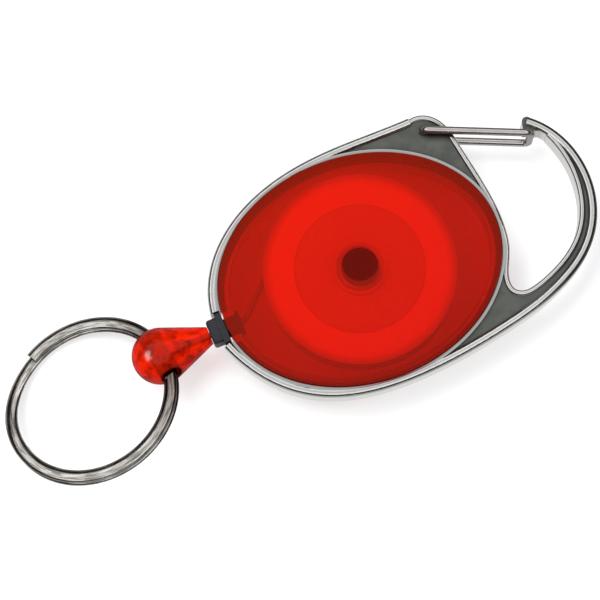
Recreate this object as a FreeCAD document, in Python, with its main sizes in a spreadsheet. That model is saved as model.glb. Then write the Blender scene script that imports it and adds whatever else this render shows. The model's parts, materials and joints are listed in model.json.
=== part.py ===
import FreeCAD, Part
import Sketcher
import math
import os

# Badge reel: an oval case with a spring-wound cord spool, set in a carabiner frame.
# The case and spool axis is z, through the origin; the rear face lies at z = 0 and the front
# faces +z. The frame lies parallel to xy with its wire gate at the right (+x). The cord leaves
# through a grommet at the left (-x) to a ring holder and a split ring.

os.makedirs("parts", exist_ok=True)
V = FreeCAD.Vector
Rotation = FreeCAD.Rotation
Placement = FreeCAD.Placement
doc = FreeCAD.newDocument("badge_reel")

# ------------------------------------------------------------ driving sizes, mm and degrees
SIZES = [
    # frame: levels and half sizes about mid_level
    ("mid_level", 6.5), ("flange_half", 0.60), ("web_half", 1.85), ("web_notch_x", -12.0),
    ("bead_half_height", 2.30), ("bead_half_width", 0.75), ("nose_cap_drop", 0.9),
    ("rim_half_height", 2.15), ("rim_half_width", 0.48), ("case_rim_half_height", 2.20),
    ("frame_flange_long", 21.2), ("frame_flange_short", 16.7), ("case_rim_width", 0.45),
    # case: long is the half axis along x, short along y
    ("case_long", 22.0), ("case_short", 17.5), ("case_gap", 0.15),
    ("spigot_long", 21.1), ("spigot_short", 16.6), ("spigot_depth", 1.2),
    ("cavity_long", 20.5), ("cavity_short", 16.0),
    ("front_dome_long", 30.0), ("front_dome_short", 23.864),
    ("front_dome_rise", 9.693), ("front_dome_level", 2.557),
    ("rear_dome_long", 26.0), ("rear_dome_short", 20.682),
    ("rear_dome_rise", 11.66), ("rear_dome_level", 9.52),
    ("cover_wall", 1.15), ("rear_flat_floor", 1.2),
    # how far cutting and trimming shapes reach
    ("overrun", 1.0), ("recess_cut", 10.0), ("cover_reach", 8.0),
    # outlet and grommet
    ("outlet_x", -22.0), ("outlet_y", -1.1), ("pull_angle", 2.2),
    ("outlet_gap_half", 2.62), ("outlet_gap_y", -1.15),
    ("outlet_gap_left", -27.0), ("outlet_gap_right", -14.0),
    ("outlet_hole_reach", 2.0), ("outlet_hole_length", 6.0),
    ("grommet_neck", 1.5), ("neck_gap", 0.05), ("grommet_bore", 0.62),
    ("grommet_flange_wide", 5.1), ("grommet_flange_tall", 4.2),
    ("grommet_block_wide", 3.9), ("grommet_block_tall", 3.8), ("grommet_face", 2.75),
    ("grommet_flange_in", 0.15), ("grommet_flange_out", 1.15),
    ("block_overlap", 0.2), ("neck_overlap", 0.3),
    ("grommet_lip", 2.0), ("grommet_lip_from", 1.90), ("grommet_lip_to", 2.40),
    ("grommet_round", 0.45),
    # arbor
    ("arbor_radius", 2.75), ("arbor_base", 1.5), ("arbor_foot", 0.42), ("arbor_top", 10.75),
    ("arbor_bevel", 0.25), ("arbor_slot", 0.5), ("arbor_slot_from", 4.35),
    ("arbor_slot_to", 7.95), ("slot_inner", 1.4), ("slot_outer", 4.0),
    ("pilot_radius", 1.12), ("pilot_top", 8.85),
    # centre screw and rear plug
    ("screw_shank", 1.10), ("screw_head", 2.2), ("screw_head_level", 0.55),
    ("screw_cone_level", 1.65), ("screw_tip", 8.55), ("screw_tip_radius", 0.5),
    ("screw_tip_length", 0.6), ("recess_long", 2.4), ("recess_wide", 0.55),
    ("recess_depth", 0.75), ("plug_radius", 2.22), ("plug_thick", 0.5),
    # bosses, holes and seats of the covers
    ("rear_boss", 4.2), ("rear_boss_bottom", 0.6), ("rear_boss_top", 3.15),
    ("front_boss", 3.6), ("front_boss_bottom", 9.1), ("front_boss_height", 4.0),
    ("front_boss_inset", 0.3), ("socket_radius", 2.80), ("socket_gap", 0.05),
    ("shank_gap", 0.05), ("head_gap", 0.06), ("sink_extra", 0.02), ("screw_way_height", 4.0),
    ("arbor_seat_gap", 0.03), ("arbor_seat_rise", 0.4), ("arbor_seat_height", 3.0),
    # thrust washers
    ("washer_bore", 2.85), ("washer_radius", 4.1), ("washer_thick", 0.30),
    ("rear_washer_level", 3.2), ("front_washer_level", 8.75),
    # spool
    ("spool_bottom", 3.55), ("spool_top", 8.7), ("flange_thick", 0.75),
    ("spool_radius", 14.76), ("barrel_outer", 10.6), ("barrel_inner", 9.4),
    ("cap_radius", 10.0), ("cap_level", 8.05), ("cap_gap", 0.03), ("spool_bore", 2.85),
    ("anchor_angle", 250.0), ("anchor_level", 7.05), ("anchor_hole", 0.8),
    ("anchor_cut", 12.5), ("anchor_knot", 0.74), ("anchor_knot_at", 9.84),
    # mainspring
    ("spring_thick", 0.16), ("spring_from", 4.5), ("spring_to", 7.8),
    ("spring_inner", 3.05), ("spring_outer", 8.95), ("spring_turns", 9.0), ("tang_from", 1.6),
    # cord
    ("cord_radius", 0.45), ("lay_one", 11.07), ("lay_two", 11.99), ("lay_three", 12.91),
    ("lay_low", 4.77), ("lay_high", 7.48), ("guide_x", -19.0), ("guide_bend", 2.0),
    ("lead_start_gap", 0.02), ("lead_end_gap", 0.03),
    # ring holder and stop knot
    ("ball_reach", 10.965), ("ball_radius", 4.34), ("cone_apex", 11.6), ("nose_at", 8.15),
    ("holder_bore", 0.6), ("holder_bore_depth", 12.0), ("eye_radius", 1.65),
    ("eye_flare", 0.12), ("knot_pocket", 1.2), ("dome_overlap", 0.2), ("knot_at", 3.65),
    ("knot_radius", 1.05), ("knot_loop_gap", 0.02), ("knot_core", 0.72),
    # split ring
    ("ring_mean", 12.8), ("ring_x", -45.059), ("ring_y", -4.002), ("ring_z", 5.835),
    ("ring_strand_wide", 2.00), ("ring_strand_tall", 1.02), ("ring_strand_gap", 0.08),
    # wire gate
    ("gate_x", 16.7), ("gate_y", 16.8), ("gate_angle", 22.8), ("gate_length", 16.5),
    ("gate_wire", 0.6), ("gate_half", 2.85), ("gate_bend", 1.0), ("gate_end", 0.4),
    ("gate_hole", 0.66), ("gate_slot_half", 0.85),
    ("gate_seat_drop", 0.95), ("gate_seat_length", 9.0), ("gate_seat_cut", 3.0),
]
NAMES = {name for name, amount in SIZES}

sheet = doc.addObject("Spreadsheet::Sheet", "dims")
for row, (name, amount) in enumerate(SIZES, start=1):
    sheet.set("A%d" % row, name)
    sheet.set("B%d" % row, str(amount))
    sheet.setAlias("B%d" % row, name)
doc.recompute()


# ------------------------------------------------------------ formulas on the sheet
# A formula is made of size names, numbers and + - *, with a space between all of them.
def size(name):
    return float(getattr(sheet, name))


def value(formula):
    total = 0.0
    for term in formula.replace("- ", "+ -1 * ").split("+"):
        factors = [factor.strip() for factor in term.split("*")]
        total += math.prod(size(f) if f in NAMES else float(f) for f in factors)
    return total


def bind(obj, prop, formula):
    words = ["dims." + word if word in NAMES else word for word in formula.split()]
    obj.setExpression(prop, " ".join(words))


def drive(obj, prop, formula):
    """Set a property to a formula's value and bind it to the sheet."""
    setattr(obj, prop, value(formula))
    bind(obj, prop, formula)


def place(obj, x=None, y=None, z=None, rotation=None):
    """Place an object at x, y, z, each a formula or left at zero."""
    given = (("x", x), ("y", y), ("z", z))
    base = V(*[value(formula) if formula else 0 for axis, formula in given])
    obj.Placement = Placement(base, rotation or Rotation())
    for axis, formula in given:
        if formula:
            bind(obj, "Placement.Base." + axis, formula)
    return obj


# ------------------------------------------------------------ vectors and curves
def polar(radius, angle, z=0.0):
    return V(radius * math.cos(angle), radius * math.sin(angle), z)


def rotation_to(x_axis, y_axis, z_axis):
    rows = []
    for a, b, c in zip(x_axis, y_axis, z_axis):
        rows += [a, b, c, 0]
    return Rotation(FreeCAD.Matrix(*rows, 0, 0, 0, 1))


def smooth(share):
    """Ease from 0 to 1, level at both ends."""
    return share * share * (3 - 2 * share)


def through(points):
    curve = Part.BSplineCurve()
    curve.interpolate(points)
    return curve


# ------------------------------------------------------------ sketches
def make_body(name):
    return doc.addObject("PartDesign::Body", name)


def sketch(body, name, role, level=None):
    """Sketch on a plane of the body's origin, lifted along its normal to level."""
    plane = next(f for f in body.Origin.OriginFeatures if f.Role == role)
    drawn = body.newObject("Sketcher::SketchObject", name)
    drawn.AttachmentSupport = (plane, [""])
    drawn.MapMode = "FlatFace"
    if level is not None:
        drawn.AttachmentOffset = Placement(V(0, 0, value(level)), Rotation())
        bind(drawn, "AttachmentOffset.Base.z", level)
    return drawn


def start_section(body, name, path):
    """Sketch square to the first point of a path."""
    drawn = body.newObject("Sketcher::SketchObject", name)
    drawn.AttachmentSupport = (path, ["Edge1"])
    drawn.MapMode = "NormalToEdge"
    drawn.MapPathParameter = 0.0
    return drawn


def constrain(drawn, *terms):
    return drawn.addConstraint(Sketcher.Constraint(*terms))


def dimension(drawn, formula, *terms, doubled=False):
    amount = value(formula)
    if doubled:
        amount = 2 * amount
        formula = "2 * ( " + formula + " )"
    index = constrain(drawn, *terms, amount)
    bind(drawn, "Constraints[%d]" % index, formula)


def add_arc(drawn, centre, radius, start, end):
    circle_line = Part.Circle(V(*centre, 0), V(0, 0, 1), radius)
    return drawn.addGeometry(Part.ArcOfCircle(circle_line, start, end), False)


def add_lines(drawn, points):
    return [drawn.addGeometry(Part.LineSegment(V(*a, 0), V(*b, 0)), False)
            for a, b in zip(points, points[1:])]


def closed_lines(drawn, points):
    sides = add_lines(drawn, points + points[:1])
    for k in range(len(sides)):
        constrain(drawn, "Coincident", sides[k], 2, sides[(k + 1) % len(sides)], 1)
    return sides


def add_curve(drawn, points):
    drawn.addGeometry(through([V(x, y, 0) for x, y in points]), False)


def circle(drawn, radius, at=None):
    """Circle held on the sketch origin, or starting from the point at."""
    centre = V(*(at or (0, 0)), 0)
    ring = drawn.addGeometry(Part.Circle(centre, V(0, 0, 1), value(radius)), False)
    if at is None:
        constrain(drawn, "Coincident", ring, 3, -1, 1)
    dimension(drawn, radius, "Radius", ring)


def ellipse(drawn, long, short):
    oval = drawn.addGeometry(Part.Ellipse(V(0, 0, 0), value(long), value(short)), False)
    constrain(drawn, "Coincident", oval, 3, -1, 1)
    # adds the long axis as oval + 1 and the short axis as oval + 2
    drawn.exposeInternalGeometry(oval)
    constrain(drawn, "PointOnObject", oval + 1, 1, -1)
    dimension(drawn, long, "Distance", oval + 1, doubled=True)
    dimension(drawn, short, "Distance", oval + 2, doubled=True)


def rectangle(drawn, wide, tall):
    """Rectangle centred on the sketch origin."""
    x, y = value(wide) / 2, value(tall) / 2
    sides = closed_lines(drawn, [(-x, -y), (x, -y), (x, y), (-x, y)])
    for k in (0, 2):
        constrain(drawn, "Horizontal", sides[k])
    for k in (1, 3):
        constrain(drawn, "Vertical", sides[k])
    constrain(drawn, "Symmetric", sides[0], 1, sides[2], 1, -1, 1)
    dimension(drawn, wide, "Distance", sides[0])
    dimension(drawn, tall, "Distance", sides[1])


def profile(drawn, corners):
    """Closed straight-sided section; corners are (x, y) formulas, never negative."""
    sides = closed_lines(drawn, [(value(x), value(y)) for x, y in corners])
    for side, corner in zip(sides, corners):
        for formula, kind, axis in zip(corner, ("DistanceX", "DistanceY"), (-2, -1)):
            if abs(value(formula)) < 1e-9:
                constrain(drawn, "PointOnObject", side, 1, axis)
            else:
                dimension(drawn, formula, kind, -1, 1, side, 1)


def stadium(drawn, half_width, half_height):
    """Upright bar section with round ends, centred on the sketch origin."""
    x = value(half_width)
    y = value(half_height) - x
    outline = add_lines(drawn, [(x, -y), (x, y)])
    outline.append(add_arc(drawn, (0, y), x, 0, math.pi))
    outline += add_lines(drawn, [(-x, y), (-x, -y)])
    outline.append(add_arc(drawn, (0, -y), x, math.pi, 2 * math.pi))
    for k in range(4):
        constrain(drawn, "Tangent", outline[k], 2, outline[(k + 1) % 4], 1)
    right, top, left, bottom = outline
    constrain(drawn, "Vertical", right)
    constrain(drawn, "PointOnObject", top, 3, -2)
    constrain(drawn, "Symmetric", top, 3, bottom, 3, -1, 1)
    dimension(drawn, half_width, "Radius", top)
    dimension(drawn, half_height + " - " + half_width, "Distance", right, doubled=True)


# ------------------------------------------------------------ body features
def pad(body, drawn, name, length, middle=False):
    feature = body.newObject("PartDesign::Pad", name)
    feature.Profile = drawn
    drive(feature, "Length", length)
    if middle:
        feature.SideType = "Symmetric"
    return feature


def pocket(body, drawn, name, length=None, along_normal=False):
    """Cut against the sketch normal, along it, or right through if no length is given."""
    feature = body.newObject("PartDesign::Pocket", name)
    feature.Profile = drawn
    if length is None:
        feature.Type = "ThroughAll"
        feature.SideType = "Symmetric"
    else:
        drive(feature, "Length", length)
    feature.Reversed = along_normal


def turn(body, drawn, name, axis="V_Axis", cut=False):
    kind = "PartDesign::Groove" if cut else "PartDesign::Revolution"
    feature = body.newObject(kind, name)
    feature.Profile = drawn
    feature.ReferenceAxis = (drawn, [axis])
    feature.Angle = 360
    return feature


def pipe(body, section, path, name, upright):
    feature = body.newObject("PartDesign::AdditivePipe", name)
    feature.Profile = section
    feature.Spine = (path, [])
    if upright:
        feature.Mode = "Binormal"
        feature.Binormal = V(0, 0, 1)


def dress_edges(body, kind, name, base, chosen, prop, formula):
    """Fillet or chamfer the edges of base whose bounding box is chosen."""
    edges = ["Edge%d" % number for number, edge in enumerate(base.Shape.Edges, start=1)
             if chosen(edge.BoundBox)]
    feature = body.newObject("PartDesign::" + kind, name)
    feature.Base = (base, edges)
    drive(feature, prop, formula)


# ------------------------------------------------------------ primitives, booleans, sweeps
def primitive(kind, name, **formulas):
    solid = doc.addObject("Part::" + kind, name)
    for prop, formula in formulas.items():
        drive(solid, prop, formula)
    return solid


def cylinder(name, radius, z, height):
    return place(primitive("Cylinder", name, Radius=radius, Height=height), z=z)


def oval_prism(name, long, short, z, height):
    outline = primitive("Ellipse", name + "_outline", MajorRadius=long, MinorRadius=short)
    solid = doc.addObject("Part::Extrusion", name)
    solid.Base = place(outline, z=z)
    solid.DirMode = "Custom"
    solid.Dir = V(0, 0, 1)
    drive(solid, "LengthFwd", height)
    solid.Solid = True
    return solid


def combine(kind, name, base, tool):
    """Cut or Common of two objects."""
    result = doc.addObject("Part::" + kind, name)
    result.Base = base
    result.Tool = tool
    return result


def fuse(name, *solids):
    result = doc.addObject("Part::MultiFuse", name)
    result.Shapes = list(solids)
    return result


def add_shape(name, shape, placement=None):
    result = doc.addObject("Part::Feature", name)
    result.Shape = shape
    if placement:
        result.Placement = placement
    return result


def sweep(edge, section):
    """Solid of a section wire run along an edge, kept upright in z."""
    shell = Part.BRepOffsetAPI.MakePipeShell(Part.Wire([edge]))
    shell.setBiNormalMode(V(0, 0, 1))
    shell.add(section, False, False)
    shell.build()
    shell.makeSolid()
    return shell.shape()


# ------------------------------------------------------------ shared places
# pull line: from the outlet, away from the case
PULL = math.radians(size("pull_angle"))
OUT_DIR = polar(-1.0, PULL)
IN_DIR = polar(1.0, PULL)
OUTLET = V(size("outlet_x"), size("outlet_y"), 0)
MID = V(0, 0, size("mid_level"))
BALL = OUTLET + MID + OUT_DIR * size("ball_reach")
ANCHOR = math.radians(size("anchor_angle"))

# the cord leaves the outer lay at LEAVE, on a tangent to the guide point on the pull line
GUIDE = OUTLET + IN_DIR * ((size("guide_x") - size("outlet_x")) / math.cos(PULL))
LEAVE = (math.atan2(GUIDE.y, GUIDE.x) % (2 * math.pi)
         - math.acos(size("lay_three") / GUIDE.Length))

# ring pose: its normal, its centre, and the direction from the ball to it in the ring plane
RING_NORMAL = V(-0.12144, 0.34268, 0.93157).normalize()
RING_CENTRE = V(size("ring_x"), size("ring_y"), size("ring_z"))
ball_to_ring = RING_CENTRE - BALL
RING_TO = (ball_to_ring - RING_NORMAL * ball_to_ring.dot(RING_NORMAL)).normalize()

# holder frame: origin at the ball centre, x towards the case, z the eye axis squared to x
EYE = RING_NORMAL.cross(RING_TO).normalize()
EYE_SQUARE = (EYE - IN_DIR * EYE.dot(IN_DIR)).normalize()
EYE_LEAN = math.degrees(math.asin(EYE.dot(IN_DIR)))
HOLDER_ROTATION = rotation_to(IN_DIR, EYE_SQUARE.cross(IN_DIR), EYE_SQUARE)

# ------------------------------------------------------------ carabiner frame
# centre lines of the raised edges and the outline of the nose, as (x, y)
BEAD_LOW = [
    (-22.74, -3.90), (-20.41, -8.36), (-17.07, -12.35), (-12.89, -15.32), (-8.10, -17.13),
    (-2.97, -17.94), (2.24, -18.02), (7.42, -17.61), (12.62, -16.85), (17.86, -15.81),
    (23.07, -14.45), (27.90, -12.50), (32.05, -9.88), (35.20, -6.25), (37.01, -1.50),
    (37.09, 3.85), (35.56, 8.55), (32.15, 12.62),
]
BEAD_TOP = [
    (-22.92, 1.36), (-21.90, 5.40), (-19.88, 8.92), (-17.08, 11.88), (-13.71, 14.26),
    (-9.95, 16.05), (-5.94, 17.30), (-1.80, 18.08), (2.41, 18.48), (6.65, 18.63),
    (10.92, 18.70), (15.30, 18.86),
]
RIM = [
    (34.50, 9.55), (35.46, 6.80), (35.95, 3.90), (35.93, 1.02), (35.38, -2.00),
    (34.28, -4.75), (32.62, -7.15), (30.42, -9.10), (28.40, -10.35), (26.30, -11.32),
    (24.00, -12.12), (21.90, -12.30), (20.42, -11.35), (20.15, -9.40), (20.86, -7.34),
    (21.94, -4.83), (22.43, -2.13), (22.51, 0.67), (22.29, 3.48), (21.90, 6.26),
    (21.42, 9.03), (20.91, 11.83), (20.37, 14.68), (19.45, 17.10), (17.75, 18.66),
    (15.30, 18.86),
]
NOSE = [
    (32.15, 12.62), (31.30, 12.45), (31.15, 11.42), (32.90, 10.68), (33.70, 10.35),
    (34.50, 9.55),
]


def raised_edge(body, name, points, half_width, half_height):
    path = sketch(body, name + "_path", "XY_Plane", "mid_level")
    add_curve(path, points)
    doc.recompute()
    section = start_section(body, name + "_section", path)
    doc.recompute()
    # the section's y axis must stand along the frame normal
    if abs(section.Placement.Rotation.multVec(V(0, 1, 0)).z) < 0.5:
        section.AttachmentOffset = Placement(V(0, 0, 0), Rotation(V(0, 0, 1), 90))
        doc.recompute()
    stadium(section, half_width, half_height)
    doc.recompute()
    pipe(body, section, path, name, upright=True)
    doc.recompute()


def gate_seat(body, side, level, along_normal):
    """Round-ended recess running from the gate pivot along the gate."""
    angle = math.radians(-size("gate_angle"))
    half = size("gate_slot_half")
    pivot = V(size("gate_x"), size("gate_y"), 0)
    along = polar(1.0, angle)
    across = V(-along.y, along.x, 0)
    run = along * size("gate_seat_length")
    upper = pivot + across * half
    lower = pivot - across * half
    seat = sketch(body, side + "_gate_seat_outline", "XY_Plane", level)
    seat.addGeometry(Part.Arc(upper, pivot - along * half, lower), False)
    seat.addGeometry(Part.LineSegment(lower, lower + run), False)
    seat.addGeometry(Part.LineSegment(lower + run, upper + run), False)
    seat.addGeometry(Part.LineSegment(upper + run, upper), False)
    pocket(body, seat, side + "_gate_seat", "gate_seat_cut", along_normal)


def make_frame():
    body = make_body("carabiner_frame")
    web = sketch(body, "web_outline", "XY_Plane", "mid_level")
    add_curve(web, BEAD_LOW)
    add_lines(web, NOSE)
    add_curve(web, RIM)
    add_curve(web, BEAD_TOP)
    notch_x = size("web_notch_x")
    add_lines(web, [BEAD_TOP[0], (notch_x, BEAD_TOP[0][1]), (notch_x, BEAD_LOW[0][1]),
                    BEAD_LOW[0]])
    pad(body, web, "web", "2 * web_half", middle=True)

    raised_edge(body, "bead_low", BEAD_LOW, "bead_half_width", "bead_half_height")
    raised_edge(body, "bead_top", BEAD_TOP, "bead_half_width", "bead_half_height")
    raised_edge(body, "rim", RIM, "rim_half_width", "rim_half_height")

    # rounded nose end of the outer bead
    nose_cap = sketch(body, "nose_cap_section", "XY_Plane", "mid_level")
    circle(nose_cap, "bead_half_width", at=BEAD_LOW[-1])
    pad(body, nose_cap, "nose_cap", "2 * bead_half_height - nose_cap_drop", middle=True)

    # thin raised rim around the case
    case_rim = sketch(body, "case_rim_outline", "XY_Plane", "mid_level")
    ellipse(case_rim, "case_long + case_gap + case_rim_width",
            "case_short + case_gap + case_rim_width")
    pad(body, case_rim, "case_rim", "2 * case_rim_half_height", middle=True)

    # opening for the case, with a thin flange left at mid height
    opening = sketch(body, "flange_opening_outline", "XY_Plane", "mid_level")
    ellipse(opening, "frame_flange_long", "frame_flange_short")
    pocket(body, opening, "flange_opening")
    for side, level, along_normal in (("front", "mid_level + flange_half", True),
                                      ("rear", "mid_level - flange_half", False)):
        recess = sketch(body, side + "_recess_outline", "XY_Plane", level)
        ellipse(recess, "case_long + case_gap", "case_short + case_gap")
        pocket(body, recess, side + "_recess", "recess_cut", along_normal)

    # outlet gap on the left
    gap = sketch(body, "outlet_gap_outline", "XY_Plane", "mid_level")
    left, right = size("outlet_gap_left"), size("outlet_gap_right")
    low = value("outlet_gap_y - outlet_gap_half")
    high = value("outlet_gap_y + outlet_gap_half")
    closed_lines(gap, [(left, low), (right, low), (right, high), (left, high)])
    pocket(body, gap, "outlet_gap")

    # pivot hole of the wire gate, with a seat beside it front and rear
    hole = sketch(body, "gate_hole_outline", "XY_Plane", "mid_level")
    circle(hole, "gate_hole", at=(size("gate_x"), size("gate_y")))
    pocket(body, hole, "gate_hole")
    gate_seat(body, "front", "mid_level + gate_half - gate_seat_drop", True)
    gate_seat(body, "rear", "mid_level - gate_half + gate_seat_drop", False)
    return body


# ------------------------------------------------------------ wire gate
def make_gate():
    """Bent wire, its path drawn upright from the pivot and open at the pivot side."""
    body = make_body("wire_gate")
    path = sketch(body, "gate_path", "XZ_Plane")
    length, half = size("gate_length"), size("gate_half")
    bend, end = size("gate_bend"), size("gate_end")
    near, far, high = bend, length - bend, half - bend
    right_angle = math.pi / 2
    # clockwise from the upper wire end; lines and bends take turns
    run = add_lines(path, [(0, end), (0, high)])
    run.append(add_arc(path, (near, high), bend, right_angle, math.pi))
    run += add_lines(path, [(near, half), (far, half)])
    run.append(add_arc(path, (far, high), bend, 0, right_angle))
    run += add_lines(path, [(length, high), (length, -high)])
    run.append(add_arc(path, (far, -high), bend, -right_angle, 0))
    run += add_lines(path, [(far, -half), (near, -half)])
    run.append(add_arc(path, (near, -high), bend, math.pi, 3 * right_angle))
    run += add_lines(path, [(0, -high), (0, -end)])
    # arcs are stored anticlockwise, so line ends meet arc ends and arc starts line starts
    for k in range(8):
        point = 2 if k % 2 == 0 else 1
        constrain(path, "Tangent", run[k], point, run[k + 1], point)
    constrain(path, "PointOnObject", run[0], 1, -2)
    constrain(path, "Vertical", run[0])
    constrain(path, "Horizontal", run[2])
    constrain(path, "PointOnObject", run[8], 2, -2)
    dimension(path, "gate_end", "DistanceY", -1, 1, run[0], 1)
    dimension(path, "gate_end", "DistanceY", run[8], 2, -1, 1)
    dimension(path, "gate_half", "DistanceY", -1, 1, run[2], 1)
    dimension(path, "gate_half", "DistanceY", run[6], 1, -1, 1)
    dimension(path, "gate_length", "DistanceX", -1, 1, run[4], 1)
    for k in (1, 3, 5, 7):
        dimension(path, "gate_bend", "Radius", run[k])
    doc.recompute()
    section = start_section(body, "gate_section", path)
    circle(section, "gate_wire")
    doc.recompute()
    pipe(body, section, path, "gate_wire_run", upright=False)
    return place(body, x="gate_x", y="gate_y", z="mid_level",
                 rotation=Rotation(V(0, 0, 1), -size("gate_angle")))


# ------------------------------------------------------------ covers
def dome(name, side, inset=None):
    """Ellipsoid of the front or rear cover, made smaller all round by inset."""
    less = " - " + inset if inset else ""
    solid = primitive("Ellipsoid", name, Radius1=side + "_dome_rise" + less,
                      Radius2=side + "_dome_long" + less, Radius3=side + "_dome_short" + less)
    solid.Angle1 = -90
    solid.Angle2 = 90
    solid.Angle3 = 360
    return place(solid, z=side + "_dome_level")


def cover_shell(side, wall_from, wall_height, spigot_from, cavity_from):
    outer = combine("Common", side + "_outer", dome(side + "_dome_out", side),
                    oval_prism(side + "_wall", "case_long", "case_short",
                               wall_from, wall_height))
    spigot = oval_prism(side + "_spigot", "spigot_long", "spigot_short",
                        spigot_from, "spigot_depth")
    blank = fuse(side + "_blank", outer, spigot)
    inner = combine("Common", side + "_inner", dome(side + "_dome_in", side, "cover_wall"),
                    oval_prism(side + "_cavity", "cavity_long", "cavity_short",
                               cavity_from, "cover_reach"))
    return combine("Cut", side + "_shell", blank, inner)


def outlet_hole(name):
    hole = primitive("Cylinder", name, Radius="grommet_neck + neck_gap",
                     Height="outlet_hole_length")
    start = OUTLET + MID + OUT_DIR * size("outlet_hole_reach")
    hole.Placement = Placement(start, Rotation(V(0, 0, 1), IN_DIR))
    return hole


def make_front_cover():
    shell = cover_shell("front", "mid_level + flange_half", "cover_reach",
                        "mid_level", "mid_level - overrun")
    boss = combine("Common", "front_boss_trim",
                   cylinder("front_boss_post", "front_boss", "front_boss_bottom",
                            "front_boss_height"),
                   dome("front_boss_limit", "front", "front_boss_inset"))
    socket = cylinder("front_socket", "socket_radius", "front_boss_bottom - overrun",
                      "arbor_top + socket_gap - front_boss_bottom + overrun")
    return combine("Cut", "front_cover", fuse("front_with_boss", shell, boss),
                   fuse("front_tools", socket, outlet_hole("front_outlet")))


def make_rear_cover():
    shell = cover_shell("rear", "0.0", "mid_level - flange_half",
                        "mid_level - spigot_depth", "rear_flat_floor")
    boss = cylinder("rear_boss_post", "rear_boss", "rear_boss_bottom",
                    "rear_boss_top - rear_boss_bottom")
    screw_way = cylinder("rear_screw_way", "screw_shank + shank_gap", "0.0 - overrun",
                         "screw_way_height")
    arbor_seat = cylinder("rear_arbor_seat", "arbor_radius + arbor_seat_gap",
                          "arbor_base + arbor_seat_rise", "arbor_seat_height")
    sink = primitive("Cone", "rear_screw_sink", Radius1="screw_head + head_gap",
                     Radius2="screw_shank + shank_gap",
                     Height="screw_cone_level - screw_head_level + sink_extra")
    place(sink, z="screw_head_level")
    head_way = cylinder("rear_head_way", "screw_head + head_gap", "0.0 - overrun",
                        "screw_head_level + overrun")
    tools = fuse("rear_tools", screw_way, arbor_seat, sink, head_way,
                 outlet_hole("rear_outlet"))
    return combine("Cut", "rear_cover", fuse("rear_with_boss", shell, boss), tools)


# ------------------------------------------------------------ outlet grommet
def make_grommet():
    """Drawn square to the pull line: origin at the outlet, x towards the case centre."""
    body = make_body("outlet_grommet")
    block = sketch(body, "block_outline", "YZ_Plane", "0.0 - grommet_face")
    rectangle(block, "grommet_block_wide", "grommet_block_tall")
    pad(body, block, "block", "grommet_face - grommet_flange_out + block_overlap")
    outline = sketch(body, "flange_outline", "YZ_Plane", "0.0 - grommet_flange_out")
    rectangle(outline, "grommet_flange_wide", "grommet_flange_tall")
    flange = pad(body, outline, "flange", "grommet_flange_out - grommet_flange_in")
    doc.recompute()

    # edges along x, and those around the outer face
    def rounded(box):
        lengthwise = box.XLength > 0.5 and box.YLength < 1e-4 and box.ZLength < 1e-4
        on_face = abs(box.XMin + size("grommet_face")) < 1e-4 and box.XLength < 1e-4
        return lengthwise or on_face

    dress_edges(body, "Fillet", "grommet_edges", flange, rounded, "Radius", "grommet_round")
    neck = sketch(body, "neck_outline", "YZ_Plane", "0.0 - grommet_flange_in - neck_overlap")
    circle(neck, "grommet_neck")
    pad(body, neck, "neck", "grommet_flange_in + neck_overlap + grommet_lip_to")
    lip = sketch(body, "lip_outline", "YZ_Plane", "grommet_lip_from")
    circle(lip, "grommet_lip")
    pad(body, lip, "lip", "grommet_lip_to - grommet_lip_from")
    bore = sketch(body, "bore_outline", "YZ_Plane")
    circle(bore, "grommet_bore")
    pocket(body, bore, "bore")
    return place(body, x="outlet_x", y="outlet_y", z="mid_level",
                 rotation=Rotation(V(0, 0, 1), size("pull_angle")))


# ------------------------------------------------------------ parts on the spool axis
def make_arbor():
    """Turned post with a blind pilot hole from the rear and a slot for the spring tang."""
    body = make_body("spring_arbor")
    section = sketch(body, "arbor_section", "XZ_Plane")
    profile(section, [
        ("pilot_radius", "arbor_base + arbor_foot"),
        ("arbor_radius", "arbor_base + arbor_foot"),
        ("arbor_radius", "arbor_top - arbor_bevel"),
        ("arbor_radius - arbor_bevel", "arbor_top"),
        ("0", "arbor_top"),
        ("0", "pilot_top"),
        ("pilot_radius", "pilot_top"),
    ])
    turn(body, section, "arbor_turning")
    slot = sketch(body, "slot_outline", "XY_Plane", "arbor_slot_from")
    half = size("arbor_slot") / 2
    inner, outer = size("slot_inner"), size("slot_outer")
    closed_lines(slot, [(inner, -half), (outer, -half), (outer, half), (inner, half)])
    pocket(body, slot, "slot", "arbor_slot_to - arbor_slot_from", along_normal=True)
    return body


def make_screw():
    body = make_body("centre_screw")
    section = sketch(body, "screw_section", "XZ_Plane")
    profile(section, [
        ("0", "screw_head_level"),
        ("screw_head", "screw_head_level"),
        ("screw_shank", "screw_cone_level"),
        ("screw_shank", "screw_tip - screw_tip_length"),
        ("screw_tip_radius", "screw_tip"),
        ("0", "screw_tip"),
    ])
    turn(body, section, "screw_turning")
    # cross recess in the head
    for name, wide, tall in (("recess_a", "recess_long", "recess_wide"),
                             ("recess_b", "recess_wide", "recess_long")):
        recess = sketch(body, name + "_outline", "XY_Plane", "screw_head_level")
        rectangle(recess, wide, tall)
        pocket(body, recess, name, "recess_depth", along_normal=True)
    return body


def make_plug():
    body = make_body("rear_plug")
    outline = sketch(body, "plug_outline", "XY_Plane")
    circle(outline, "plug_radius")
    pad(body, outline, "plug_blank", "plug_thick")
    return body


def make_disc(name, level, radius, bore, thick):
    """Flat disc with a centre hole."""
    body = make_body(name)
    outline = sketch(body, name + "_outline", "XY_Plane", level)
    circle(outline, radius)
    circle(outline, bore)
    pad(body, outline, name + "_blank", thick)
    return body


def make_washer(side):
    return make_disc(side + "_thrust_washer", side + "_washer_level",
                     "washer_radius", "washer_bore", "washer_thick")


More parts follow.
